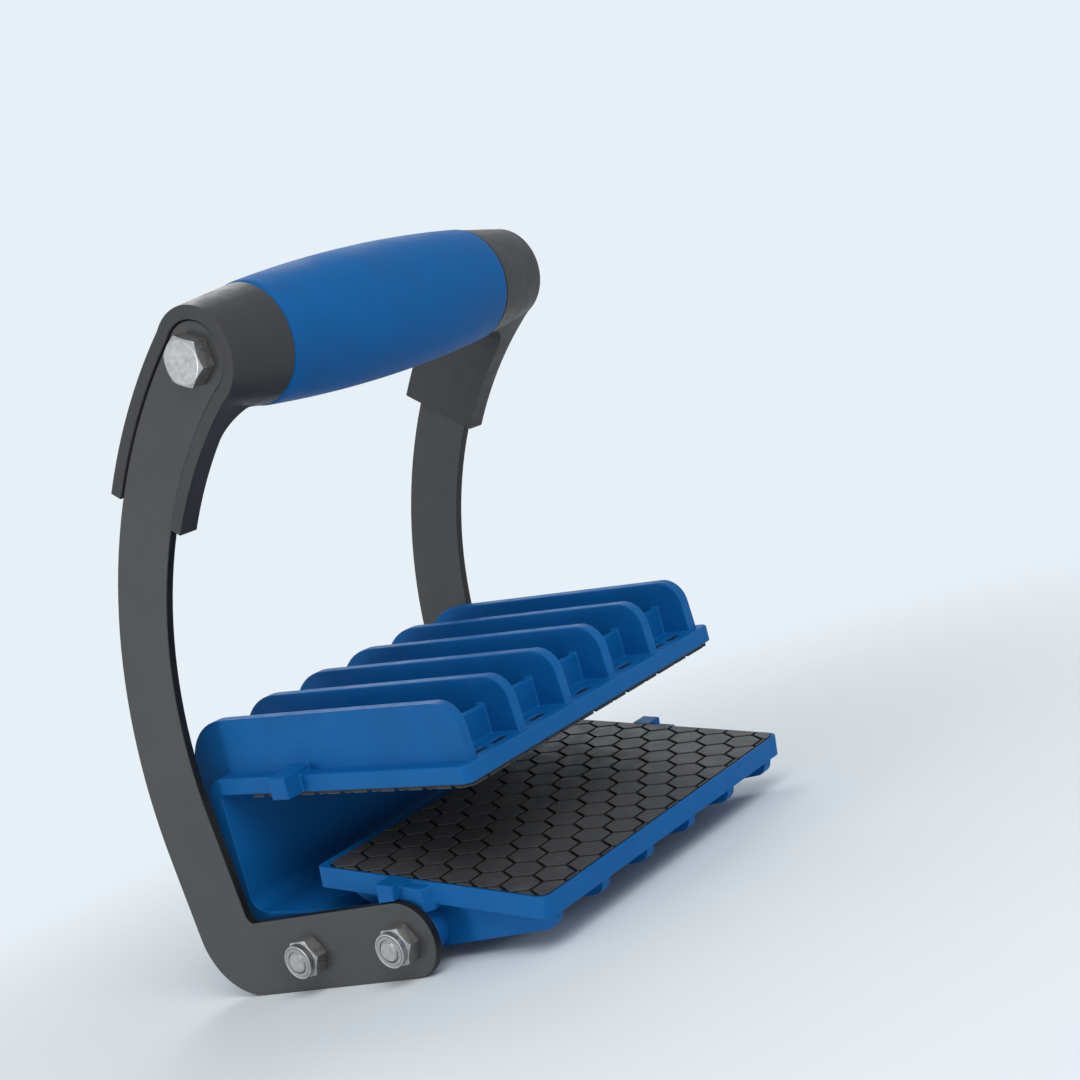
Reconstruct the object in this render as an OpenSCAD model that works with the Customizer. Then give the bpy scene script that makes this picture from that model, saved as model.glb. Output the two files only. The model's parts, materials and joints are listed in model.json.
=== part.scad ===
// Panel carrier: a handle on two bent flat arms, with two pivoting jaws that pinch the edge of a sheet.
// Lengths are in millimetres. The feet stand on Z = 0, the mouth opens toward -Y and X runs along the handle.

/* [Arms] */
// Width over the outer faces of the two arms
frame_w = 170; // [150:1:220]
// Thickness of the flat bar
bar_t = 3.5; // [3:0.5:6]
// Width of the flat bar at the riser
riser_w = 29; // [26:0.5:33]
// Width of the flat bar at the handle
bar_w = 25; // [22:0.5:28]
// Distance from the handle axis back to the middle of the riser
arm_reach = 92.9; // [85:0.1:110]
// Height of the handle axis above the feet
handle_h = 221.3; // [200:0.1:260]
// Height at which the riser's rear edge starts to curve forward
rear_arc_h = 56; // [45:1:60]
// Height at which the riser's front edge starts to curve forward
front_arc_h = 68.4; // [62:0.1:80]
// Height of the foot
foot_h = 27.6; // [24:0.1:32]
// Radius of the outer bend at the heel
heel_r = 24; // [10:0.5:27]
// Radius of the inner corner above the foot
inner_corner_r = 3; // [1:0.5:8]

/* [Pivots] */
// Thread diameter of the pivot bolts
pivot_d = 8; // [6:0.5:9]
// Distance of the rear pivot behind the handle axis
rear_pivot_y = 50.5; // [46:0.5:56]
// Distance between the two pivots
pivot_spacing = 46.5; // [42:0.5:52]
// Width across the flats of the pivot bolt heads and lock nuts
pivot_flats = 13; // [12:0.5:16]
// Height of a pivot bolt head
pivot_head_h = 5.3; // [4:0.1:7]
// Height of the six-sided part of a lock nut
nut_hex_h = 5.5; // [4:0.1:7]
// Height of the round collar on a lock nut
nut_collar_h = 2.5; // [2:0.1:4]
// Diameter of the round collar on a lock nut
nut_collar_d = 12.4; // [12:0.1:12.9]
// Length of bolt that stands out of a lock nut
bolt_proud = 0.5; // [0.3:0.1:5]
// Thickness of the spacers between the arms and the jaws
spacer_t = 4.2; // [2:0.1:6]
// Outer diameter of the spacers
spacer_d = 16; // [13:0.5:17]

/* [Handle] */
// Diameter of the grip at its middle
grip_mid_d = 49; // [44:0.5:56]
// Diameter of the grip at its ends
grip_end_d = 43.2; // [40:0.1:43.8]
// Length of a socket's barrel along the handle
barrel_l = 25.3; // [23:0.1:32]
// Diameter of a socket's barrel where it meets the grip
barrel_d = 42.6; // [38:0.1:43]
// Width of the rim that a socket has along each edge of the bar
socket_lip = 5.2; // [3:0.1:6.5]
// Distance from the outer face of the bar to the inner face of a socket's leg
socket_depth = 7.2; // [7:0.1:10]
// Length of a socket's leg, measured along the bar's rear edge
socket_leg_l = 70.6; // [50:0.1:90]
// Radius of the fillet between a socket's leg and its barrel
socket_fillet_r = 9.5; // [4:0.5:12]
// Outer diameter of the steel tube inside the grip
core_tube_d = 25; // [22:0.5:28]
// Wall of the steel tube
core_tube_wall = 2; // [1.5:0.1:3]
// Depth to which the tube sits in each socket
tube_seat = 14; // [8:0.5:17]
// Length of the threaded plug in each end of the tube
plug_l = 22; // [20:0.5:30]
// Thread diameter of the handle bolts
handle_bolt_d = 10; // [8:0.5:12]
// Width across the flats of a handle bolt head
handle_bolt_flats = 16; // [14:0.5:19]
// Height of a handle bolt head
handle_head_h = 6.4; // [5:0.1:8]
// Length of handle bolt inside its plug
thread_engagement = 18.7; // [12:0.1:19.5]

/* [Upper jaw] */
// Slope of the upper jaw, front end down, in degrees
upper_tilt = 6.5; // [0:0.5:15]
// Distance from the rear pivot forward to the front edge of the upper plate
upper_front = 87.3; // [75:0.1:95]
// Height of the upper plate's underside over the rear pivot
upper_under_h = 57.2; // [55:0.1:70]
// Thickness of the upper plate
upper_plate_t = 6.2; // [5:0.1:8]
// Distance from the rear pivot back to the inner face of the wall
throat_back = 33.4; // [30:0.1:40]
// Thickness of the wall that joins the upper plate to the floor
wall_t = 5.6; // [4:0.1:7]
// Height of the floor's top over the rear pivot
floor_h = 12; // [11:0.1:14]
// Thickness of the floor
floor_t = 5.6; // [5.2:0.1:7]
// Distance from the rear pivot forward to the end of the floor
floor_front = 16; // [12:0.1:18]
// Number of ribs on each jaw
rib_count = 6; // [4:1:8]
// Thickness of a rib
rib_t = 4.5; // [3:0.1:6]
// Distance from the end of a jaw to the middle of its outer rib
rib_inset = 7.75; // [6:0.05:10]
// Height of the upper jaw's ribs over its plate
upper_rib_rise = 20.4; // [14:0.1:30]
// Depth of the upper jaw's ribs behind the wall, at the top
upper_rib_back = 11; // [6:0.1:13]
// Radius of the boss round the rear pivot
rear_boss_r = 10; // [8:0.1:11]

/* [Lower jaw] */
// Slope of the lower jaw, front end down, in degrees
lower_tilt = 13.3; // [8:0.1:18]
// Distance from the front pivot forward to the front edge of the lower plate
lower_front = 57.8; // [50:0.1:65]
// Distance from the front pivot back to the rear edge of the lower plate
lower_back = 43.2; // [36:0.1:46]
// Height of the lower plate's top over the front pivot
lower_top_h = 19.2; // [17:0.1:21]
// Thickness of the lower plate
lower_plate_t = 7.8; // [5:0.1:9]
// Depth of the lower jaw's ribs at their front end
lower_nose_drop = 5.3; // [4.5:0.1:8]
// Radius of the boss round the front pivot
front_boss_r = 8.6; // [7.5:0.1:10]

/* [Pads] */
// Thickness of the rubber pads
pad_t = 2.8; // [2:0.1:4]
// Depth to which the upper pad is sunk in its plate
upper_pad_sunk = 1.2; // [0.6:0.1:1.8]
// Height of the lower pad's face over its plate
lower_pad_proud = 0.4; // [0.2:0.1:1.4]
// Radius of a pad's corners
pad_corner_r = 4; // [2:0.5:8]
// Width of the bare edge round a pad
pad_margin = 1.2; // [0.8:0.1:4]
// Distance from the rear pivot back to the rear edge of the upper pad
upper_pad_back = 20.3; // [10:0.1:28]
// Distance from the rear edge of the lower plate to the lower pad
lower_pad_inset = 4; // [1:0.1:10]

/* [Hidden] */

// Sides of the circles that small and large rounds are drawn with
$fn = 96;
large_fn = 720;

// Overrun of a cut past the face that it opens
overrun = 1;
// Radial clearance of a jaw on its pivot bolt
pivot_play = 0.08;
// Radial clearance of a bolt in a drilled hole
hole_play = 0.25;
// Clearance between pieces that are pushed together and stay put
seat_play = 0.1;
// Clearance round the bar in its socket
socket_play = 0.3;
// Clearance between a jaw and what it turns beside
side_play = 0.3;
// Clearance round a pad in its recess
pad_play = 0.3;
// Excess of the bar's end round, and of the socket's, over half of its width
end_bulge = 0.3;
// Height of a socket's rim over the outer face of the bar
rim_proud = 0.8;
// Chamfer at the end of a bolt
bolt_tip = 0.8;
// Share of the width across flats that the flat end of a head takes
head_flat_share = 0.475;
// Slope of the chamfer on heads and nuts, in degrees
head_chamfer_angle = 30;
// Wall and thickness of the nylon ring in a lock nut
ring_wall = 1.2;
ring_t = 2.2;

// Rounds of the upper jaw's sheet
throat_top_r = 2;
throat_low_r = 6;
wall_outer_r = 8;
floor_nose_r = 2.4;
// Corners of the two plates in plan: at the front of both and at the rear of the lower one
plate_corner_r = 3.5;
rear_corner_r = 2;
// Depth to which the edge of a rib runs into its boss
boss_sink = 0.3;
// Upper ribs: setback and lean of the front edge, taper of the rear edge, depth under the floor and rounds
rib_setback = 2.3;
rib_lean = 1.5;
rib_taper = 4;
rib_under = 4.4;
rib_front_r = 9.5;
rib_rear_r = 20;
rib_heel_r = 10;
// Cross web between the upper ribs: distance behind the plate's front edge, thickness and height
web_setback = 14.7;
web_t = 3;
web_h = 10.8;
// Slots in the upper plate: distance behind its front edge, length, width and offset of a pair
slot_setback = 7.3;
slot_l = 8.3;
slot_w = 3.6;
slot_pair_offset = 5.6;
// Depth of a pad peg's end under the top of the upper plate
peg_depth = 0.6;
// Distance from the outer face of an arm in to the ends of the stops that reach over it
stop_inset = 0.2;
// Stop tab of the upper jaw: front and rear ends before the pivot, root in the plate
tab_front = 10.2;
tab_back = 2;
tab_root = 0.9;
// Height of the tab over the plate, at its end and at the rib
tab_rise = 1.7;
tab_gusset_h = 3;
// Stop lug of the lower jaw: front and rear ends behind the pivot, root in the plate and gap over the foot
lug_front = 1.4;
lug_back = 8.9;
lug_root = 0.7;
lug_gap = 0.3;
// Cheek of the lower jaw: ends from the pivot, ramp, depth under the plate and step under the plate's top
cheek_front = 10;
cheek_back = 2;
cheek_ramp = 2;
cheek_drop = 2.2;
cheek_step = 1;
// Lower ribs: setback of the front edge, nose round and length bared under the plate's rear end
lower_rib_setback = 1.8;
lower_nose_r = 5;
lower_rib_back_inset = 5.5;

// Places that the pieces share
side_x = frame_w / 2;
bar_in_x = side_x - bar_t;
jaw_x = bar_in_x - spacer_t - side_play;
pivot_z = foot_h / 2;
front_pivot_y = rear_pivot_y - pivot_spacing;
pivot_bore_r = pivot_d / 2 + pivot_play;
nut_h = nut_hex_h + nut_collar_h;
ring_r = pivot_d / 2 + seat_play + ring_wall;

// Radius of an edge that leaves the riser at a height and runs past the outer side of the handle axis
function edge_radius(y, start_h, past) =
  let (rise = handle_h - start_h)
  (y * y + rise * rise - past * past) / (2 * (y - past));

// The two edges of the bar: they run up the riser and round two arcs to the handle axis
rear_y = arm_reach + riser_w / 2;
front_y = arm_reach - riser_w / 2;
rear_r = edge_radius(rear_y, rear_arc_h, bar_w / 2);
front_r = edge_radius(front_y, front_arc_h, -bar_w / 2);
arc_end_angle = atan2(handle_h - rear_arc_h, rear_r - rear_y);
leg_angle = arc_end_angle - socket_leg_l / rear_r * 180 / PI;
bar_end_r = bar_w / 2 + end_bulge;
socket_end_r = bar_end_r + socket_lip;

grip_l = frame_w - 2 * barrel_l;
grip_bore_r = core_tube_d / 2 + seat_play;
plug_r = core_tube_d / 2 - core_tube_wall - seat_play;
handle_bolt_l = barrel_l - tube_seat + thread_engagement;

rib_x = jaw_x - rib_inset;
rib_pitch = 2 * rib_x / (rib_count - 1);
upper_top_h = upper_under_h + upper_plate_t;
lower_under_h = lower_top_h - lower_plate_t;
lower_pad_face_h = lower_top_h + lower_pad_proud;
lower_pad_low_h = lower_pad_face_h - pad_t;

// The origin lies under the middle of the whole carrier
x_low = -side_x - nut_h - bolt_proud;
x_high = side_x + max(handle_head_h, pivot_head_h);
y_low = front_pivot_y - lower_front * cos(lower_tilt) - lower_top_h * sin(lower_tilt);
y_high = rear_y;
centre_x = (x_low + x_high) / 2;
centre_y = (y_low + y_high) / 2;

jaw_blue = "#1a5da0";
arm_grey = "#505153";
socket_grey = "#464647";
pad_black = "#2a2b2d";
steel = "#aaa8a8";
nylon = "#d8dcdf";

function unit(v) = v / norm(v);

function polar(r, angle) = [r * cos(angle), r * sin(angle)];

// Half of the angle between the two edges that meet at a corner
// A corner is [point before, point, point after, radius]
function half_angle(corner) = acos(unit(corner[0] - corner[1]) * unit(corner[2] - corner[1])) / 2;

// Whether the outline, run counter-clockwise, turns left at a corner
function turns_left(corner) = cross(corner[1] - corner[0], corner[2] - corner[1]) > 0;

// Points at which a corner's round leaves its two edges
function round_ends(corner) =
  let (run = corner[3] / tan(half_angle(corner)))
  [corner[1] + unit(corner[0] - corner[1]) * run, corner[1] + unit(corner[2] - corner[1]) * run];

function round_centre(corner) =
  let (bisector = unit(unit(corner[0] - corner[1]) + unit(corner[2] - corner[1])))
  corner[1] + bisector * corner[3] / sin(half_angle(corner));

// Point at which a line from a given point touches a circle round the origin, on the side that turn points to
function touch_point(point, r, turn) =
  polar(r, atan2(point[1], point[0]) + turn * acos(r / norm(point)));

// Part of a corner's round that lies past the straight line between its ends
module round_segment(corner) {
  ends = round_ends(corner);
  intersection() {
    translate(round_centre(corner)) circle(corner[3]);
    polygon([ends[0], corner[1], ends[1]]);
  }
}

// Outline through points listed counter-clockwise, with a radius for each corner
module rounded_outline(points, radii) {
  count = len(points);
  corners = [
    for (i = [0:count - 1])
      [points[(i + count - 1) % count], points[i], points[(i + 1) % count], radii[i]]
  ];
  difference() {
    union() {
      polygon([for (c = corners) each c[3] > 0 ? round_ends(c) : [c[1]]]);
      for (c = corners) if (c[3] > 0 && turns_left(c)) round_segment(c);
    }
    for (c = corners) if (c[3] > 0 && !turns_left(c)) round_segment(c);
  }
}

// Moves the whole carrier so that the origin lies under its middle
module placed() {
  translate([-centre_x, -centre_y, 0]) children();
}

module on_side(side) {
  mirror([side < 0 ? 1 : 0, 0, 0]) children();
}

// Extrudes an outline, drawn as Y across and Z up, between two places along X
module along_x(from_x, to_x) {
  translate([from_x, 0, 0]) rotate([90, 0, 90]) linear_extrude(to_x - from_x) children();
}

// Turns a form that stands on the XY plane to point along +X
module pointing_x() {
  rotate([0, 90, 0]) children();
}

module at_handle(x) {
  translate([x, 0, handle_h]) children();
}

module at_pivot(x, y) {
  translate([x, y, pivot_z]) children();
}

// Flat slab with rounded corners in plan
module slab(half_w, front, back, low, thick, front_corner_r, back_corner_r) {
  translate([0, 0, low]) linear_extrude(thick) rounded_outline(
    [[-half_w, -front], [half_w, -front], [half_w, back], [-half_w, back]],
    [front_corner_r, front_corner_r, back_corner_r, back_corner_r]
  );
}

// Curved part of the bar, wider by a lip along both edges, from an angle of its rear arc to the handle axis
module arc_band(lip, from_angle) {
  reach = 2 * rear_r;
  difference() {
    translate([rear_y - rear_r, rear_arc_h]) intersection() {
      circle(rear_r + lip, $fn = large_fn);
      polygon([
        [0, 0], polar(reach, from_angle), polar(reach, (from_angle + arc_end_angle) / 2),
        polar(reach, arc_end_angle)
      ]);
    }
    translate([front_y - front_r, front_arc_h]) {
      circle(front_r - lip, $fn = large_fn);
      translate([-front_r, -front_r]) square([2 * front_r - lip, front_r]);
    }
  }
}

module arm_outline() {
  difference() {
    union() {
      rounded_outline(
        [
          [front_pivot_y, 0], [rear_y, 0], [rear_y, rear_arc_h], [front_y, rear_arc_h], [front_y, foot_h],
          [front_pivot_y, foot_h]
        ],
        [0, heel_r, 0, 0, inner_corner_r, 0]
      );
      translate([front_pivot_y, pivot_z]) circle(foot_h / 2);
      arc_band(0, 0);
      translate([0, handle_h]) circle(bar_end_r);
    }
    for (y = [front_pivot_y, rear_pivot_y]) translate([y, pivot_z]) circle(pivot_d / 2 + hole_play);
    translate([0, handle_h]) circle(handle_bolt_d / 2 + hole_play);
  }
}

module arm(side) {
  color(arm_grey) placed() on_side(side) along_x(bar_in_x, side_x) arm_outline();
}

// Fillet between the socket's leg and its barrel, as a ring round the handle axis
module socket_fillet() {
  leg_face = rim_proud + socket_depth;
  taper = (barrel_d / 2 - socket_end_r) / (rim_proud + barrel_l);
  centre_h = leg_face + socket_fillet_r;
  centre_r = socket_end_r + taper * centre_h + socket_fillet_r * norm([1, taper]);
  touch_h = centre_h + socket_fillet_r * sin(atan(taper));
  rotate_extrude() difference() {
    translate([0, leg_face - overrun]) square([centre_r, touch_h - leg_face + overrun]);
    translate([centre_r, centre_h]) circle(socket_fillet_r);
  }
}

// Socket that takes the top of the right arm in its outer face and carries one end of the grip
module socket_body() {
  rim_x = side_x + rim_proud;
  difference() {
    union() {
      along_x(side_x - socket_depth, rim_x) arc_band(socket_lip, leg_angle);
      at_handle(rim_x) rotate([0, -90, 0])
        cylinder(r1 = socket_end_r, r2 = barrel_d / 2, h = rim_proud + barrel_l);
      intersection() {
        at_handle(rim_x) rotate([0, -90, 0]) socket_fillet();
        along_x(side_x - barrel_l, side_x) arc_band(socket_lip, leg_angle);
      }
    }
    along_x(bar_in_x, rim_x + overrun) {
      arc_band(socket_play, 0);
      translate([0, handle_h]) circle(bar_end_r + socket_play);
    }
    at_handle(side_x - barrel_l - overrun) pointing_x() cylinder(r = grip_bore_r, h = tube_seat + overrun);
    at_handle(side_x - barrel_l) pointing_x() cylinder(r = handle_bolt_d / 2 + hole_play, h = barrel_l);
  }
}

module handle_socket(side) {
  color(socket_grey) placed() on_side(side) socket_body();
}

module handle_grip() {
  bulge = (grip_mid_d - grip_end_d) / 2;
  bulge_r = (grip_l * grip_l / 4 + bulge * bulge) / (2 * bulge);
  color(jaw_blue) placed() at_handle(0) pointing_x() rotate_extrude() intersection() {
    translate([grip_mid_d / 2 - bulge_r, 0]) circle(bulge_r, $fn = large_fn);
    translate([grip_bore_r, -grip_l / 2]) square([grip_mid_d / 2, grip_l]);
  }
}

module handle_core_tube() {
  tube_l = grip_l + 2 * tube_seat;
  color(steel) placed() at_handle(-tube_l / 2) pointing_x() difference() {
    cylinder(d = core_tube_d, h = tube_l);
    translate([0, 0, -overrun]) cylinder(r = core_tube_d / 2 - core_tube_wall, h = tube_l + 2 * overrun);
  }
}

module core_plug(side) {
  plug_end = grip_l / 2 + tube_seat;
  color(steel) placed() on_side(side) at_handle(plug_end - plug_l) pointing_x() difference() {
    cylinder(r = plug_r, h = plug_l);
    translate([0, 0, -overrun]) cylinder(r = handle_bolt_d / 2 + seat_play, h = plug_l + 2 * overrun);
  }
}

// Six-sided prism whose outer end is chamfered
module hex_head(flats, h) {
  corner_r = flats / 2 / cos(180 / 6);
  flat_r = flats * head_flat_share;
  chamfer_h = (corner_r - flat_r) * tan(head_chamfer_angle);
  intersection() {
    cylinder(r = corner_r, h = h, $fn = 6);
    rotate_extrude() polygon([[0, 0], [corner_r, 0], [corner_r, h - chamfer_h], [flat_r, h], [0, h]]);
  }
}

// Bolt with its head on +Z, seated on the XY plane
module hex_bolt(d, l, flats, head_h) {
  hex_head(flats, head_h);
  translate([0, 0, bolt_tip - l]) cylinder(d = d, h = l - bolt_tip);
  translate([0, 0, -l]) cylinder(r1 = d / 2 - bolt_tip, r2 = d / 2, h = bolt_tip);
}

module handle_bolt(side) {
  color(steel) placed() on_side(side) at_handle(side_x) pointing_x()
    hex_bolt(handle_bolt_d, handle_bolt_l, handle_bolt_flats, handle_head_h);
}

module pivot_bolt(y) {
  pivot_bolt_l = frame_w + nut_h + bolt_proud;
  color(steel) placed() at_pivot(side_x, y) pointing_x()
    hex_bolt(pivot_d, pivot_bolt_l, pivot_flats, pivot_head_h);
}

module lock_nut(y) {
  color(steel) placed() at_pivot(-side_x, y) rotate([0, -90, 0]) difference() {
    union() {
      rotate(180 / 6) hex_head(pivot_flats, nut_hex_h);
      cylinder(d = nut_collar_d, h = nut_h);
    }
    translate([0, 0, -overrun]) cylinder(r = pivot_d / 2 + seat_play, h = nut_h + 2 * overrun);
    translate([0, 0, nut_h - ring_t]) cylinder(r = ring_r + seat_play, h = ring_t + overrun);
  }
}

module nut_ring(y) {
  color(nylon) placed() at_pivot(ring_t - nut_h - side_x, y) rotate([0, -90, 0]) difference() {
    cylinder(r = ring_r, h = ring_t);
    translate([0, 0, -overrun]) cylinder(r = pivot_d / 2 + seat_play, h = ring_t + 2 * overrun);
  }
}

module spacer(side, y) {
  color(steel) placed() on_side(side) at_pivot(bar_in_x - spacer_t, y) pointing_x() difference() {
    cylinder(d = spacer_d, h = spacer_t);
    translate([0, 0, -overrun]) cylinder(r = pivot_d / 2 + hole_play, h = spacer_t + 2 * overrun);
  }
}

// Repeats a rib outline at the middle of each rib
module ribs() {
  for (i = [0:rib_count - 1]) {
    x = i * rib_pitch - rib_x;
    along_x(x - rib_t / 2, x + rib_t / 2) children();
  }
}

// Short round bosses that carry a jaw's ends on its pivot
module end_bosses(r) {
  for (side = [-1, 1]) on_side(side) translate([rib_x, 0, 0]) pointing_x() cylinder(r = r, h = jaw_x - rib_x);
}

module pivot_bore() {
  translate([-jaw_x - overrun, 0, 0]) pointing_x() cylinder(r = pivot_bore_r, h = 2 * (jaw_x + overrun));
}

// The upper jaw's sheet seen from the side: plate, wall and floor bent round the mouth
module upper_sheet() {
  wall_back = throat_back + wall_t;
  floor_low = floor_h - floor_t;
  rounded_outline(
    [
      [-upper_front, upper_under_h], [throat_back, upper_under_h], [throat_back, floor_h],
      [-floor_front, floor_h], [-floor_front, floor_low], [wall_back, floor_low], [wall_back, upper_top_h],
      [-upper_front, upper_top_h]
    ],
    [0, throat_top_r, throat_low_r, floor_nose_r, floor_nose_r, wall_outer_r, wall_outer_r, 0]
  );
}

// One rib of the upper jaw, from the front of the plate round behind the wall to the pivot
module upper_rib() {
  plate_mid = upper_under_h + upper_plate_t / 2;
  floor_mid = floor_h - floor_t / 2;
  wall_mid = throat_back + wall_t / 2;
  top = upper_top_h + upper_rib_rise;
  front = rib_setback - upper_front;
  back = throat_back + wall_t + upper_rib_back;
  heel = [back - rib_taper, floor_h - floor_t - rib_under];
  rounded_outline(
    [
      [front, plate_mid], [wall_mid, plate_mid], [wall_mid, floor_mid], [0, floor_mid], [0, 0],
      touch_point(heel, rear_boss_r - boss_sink, -1), heel, [back, top], [front + rib_lean, top]
    ],
    [0, 0, 0, 0, 0, 0, rib_heel_r, rib_rear_r, rib_front_r]
  );
  circle(rear_boss_r);
}

// Tab that meets the front edge of the riser when the upper jaw is opened all the way
module upper_stop_tab(side) {
  root_x = jaw_x - tab_root;
  end_x = side_x - stop_inset;
  plate_mid = upper_under_h + upper_plate_t / 2;
  on_side(side) translate([0, -tab_back, 0]) rotate([90, 0, 0]) linear_extrude(tab_front - tab_back) polygon([
    [root_x, upper_under_h], [end_x, upper_under_h], [end_x, upper_top_h + tab_rise],
    [rib_x, upper_top_h + tab_gusset_h], [rib_x, plate_mid], [root_x, plate_mid]
  ]);
}

// Takes the sharp corner off the front of the upper plate, in plan
module plate_corner_cut(side) {
  on_side(side) translate([jaw_x - plate_corner_r, plate_corner_r - upper_front, upper_under_h - overrun])
    linear_extrude(upper_plate_t + 2 * overrun) difference() {
      translate([0, -plate_corner_r - overrun]) square(plate_corner_r + overrun);
      circle(plate_corner_r);
    }
}

// Middles of the slots along X: one in each middle bay and a pair in each end bay
slot_places = [
  for (i = [0:rib_count - 2])
    let (x = (i + 1 / 2) * rib_pitch - rib_x)
    each i == 0 || i == rib_count - 2 ? [x - slot_pair_offset, x + slot_pair_offset] : [x]
];

module upper_jaw_body() {
  difference() {
    union() {
      difference() {
        along_x(-jaw_x, jaw_x) upper_sheet();
        for (side = [-1, 1]) plate_corner_cut(side);
      }
      ribs() upper_rib();
      end_bosses(rear_boss_r);
      translate([-rib_x, web_setback - upper_front, upper_top_h - upper_plate_t / 2])
        cube([2 * rib_x, web_t, upper_plate_t / 2 + web_h]);
      for (side = [-1, 1]) upper_stop_tab(side);
    }
    pivot_bore();
    slab(
      jaw_x - pad_margin + pad_play, upper_front - pad_margin + pad_play, upper_pad_back + pad_play,
      upper_under_h - overrun, upper_pad_sunk + overrun, pad_corner_r, pad_corner_r
    );
    slot_blocks(0, upper_plate_t + overrun);
  }
}

// Blocks as long and wide as the slots, less a clearance all round, from the plate's underside up
module slot_blocks(play, h) {
  for (x = slot_places)
    translate([x - slot_l / 2 + play, slot_setback - upper_front - slot_w / 2 + play, upper_under_h])
      cube([slot_l - 2 * play, slot_w - 2 * play, h]);
}

module at_upper_jaw() {
  at_pivot(0, rear_pivot_y) rotate([upper_tilt, 0, 0]) children();
}

module upper_jaw() {
  color(jaw_blue) placed() at_upper_jaw() upper_jaw_body();
}

// Pad of the upper jaw, held by pegs in the plate's slots
module upper_pad() {
  color(pad_black) placed() at_upper_jaw() {
    slab(
      jaw_x - pad_margin, upper_front - pad_margin, upper_pad_back, upper_under_h + upper_pad_sunk - pad_t,
      pad_t, pad_corner_r, pad_corner_r
    );
    slot_blocks(pad_play, upper_plate_t - peg_depth);
  }
}

// One rib of the lower jaw, from a rounded nose past the boss at the pivot up to the rear of the plate
module lower_rib() {
  front = lower_rib_setback - lower_front;
  plate_mid = lower_top_h - lower_plate_t / 2;
  nose = [front, lower_under_h - lower_nose_drop];
  tail = [lower_back - lower_rib_back_inset, lower_under_h];
  rounded_outline(
    [
      nose, touch_point(nose, front_boss_r - boss_sink, 1), [0, 0],
      touch_point(tail, front_boss_r - boss_sink, -1), tail,
      [tail[0], plate_mid], [front, plate_mid]
    ],
    [lower_nose_r, 0, 0, 0, 0, 0, 0]
  );
  circle(front_boss_r);
}

// Height, square to the lower plate, of a level line just over the foot
function lug_sole(y) = (pivot_z + lug_gap - y * sin(lower_tilt)) / cos(lower_tilt);

// Lug that rests over the foot and stops the lower jaw from tipping back
module lower_stop_lug(side) {
  root_x = jaw_x - lug_root;
  on_side(side) along_x(root_x, side_x - stop_inset) polygon([
    [lug_front, lug_sole(lug_front)], [lug_back, lug_sole(lug_back)], [lug_back, lower_pad_face_h],
    [lug_front, lower_pad_face_h]
  ]);
}

// Cheek that guides the lower jaw along the inner face of the arm, with a ramp at its front end
module lower_cheek(side) {
  out_x = bar_in_x - side_play;
  low = lower_under_h - cheek_drop;
  on_side(side) translate([0, 0, low]) linear_extrude(lower_top_h - cheek_step - low) polygon([
    [rib_x, -cheek_front], [jaw_x, -cheek_front], [out_x, cheek_ramp - cheek_front], [out_x, cheek_back],
    [rib_x, cheek_back]
  ]);
}

module lower_jaw_body() {
  difference() {
    union() {
      slab(jaw_x, lower_front, lower_back, lower_under_h, lower_plate_t, plate_corner_r, rear_corner_r);
      ribs() lower_rib();
      end_bosses(front_boss_r);
      for (side = [-1, 1]) {
        lower_stop_lug(side);
        lower_cheek(side);
      }
    }
    pivot_bore();
    slab(
      jaw_x - pad_margin + pad_play, lower_front - pad_margin + pad_play,
      lower_back - lower_pad_inset + pad_play, lower_pad_low_h, pad_t + overrun, pad_corner_r, pad_corner_r
    );
  }
}

module at_lower_jaw() {
  at_pivot(0, front_pivot_y) rotate([lower_tilt, 0, 0]) children();
}

module lower_jaw() {
  color(jaw_blue) placed() at_lower_jaw() lower_jaw_body();
}

module lower_pad() {
  color(pad_black) placed() at_lower_jaw() slab(
    jaw_x - pad_margin, lower_front - pad_margin, lower_back - lower_pad_inset, lower_pad_low_h, pad_t,
    pad_corner_r, pad_corner_r
  );
}

arm(-1);  // left_arm
arm(1);  // right_arm
handle_socket(-1);  // left_handle_socket
handle_socket(1);  // right_handle_socket
handle_grip();
handle_core_tube();
core_plug(-1);  // left_core_plug
core_plug(1);  // right_core_plug
handle_bolt(-1);  // left_handle_bolt
handle_bolt(1);  // right_handle_bolt
upper_jaw();
upper_pad();
lower_jaw();
lower_pad();
pivot_bolt(rear_pivot_y);  // rear_pivot_bolt
pivot_bolt(front_pivot_y);  // front_pivot_bolt
lock_nut(rear_pivot_y);  // rear_lock_nut
lock_nut(front_pivot_y);  // front_lock_nut
nut_ring(rear_pivot_y);  // rear_nut_ring
nut_ring(front_pivot_y);  // front_nut_ring
spacer(-1, rear_pivot_y);  // rear_left_spacer
spacer(1, rear_pivot_y);  // rear_right_spacer
spacer(-1, front_pivot_y);  // front_left_spacer
spacer(1, front_pivot_y);  // front_right_spacer
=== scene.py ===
"""Looks of the panel carrier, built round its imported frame. Lengths are in metres, in the frame's axes."""

import json
import math

import bmesh
import bpy
from mathutils import Color, Matrix, Vector
from mathutils.geometry import delaunay_2d_cdt, intersect_line_line_2d, intersect_point_line


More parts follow.
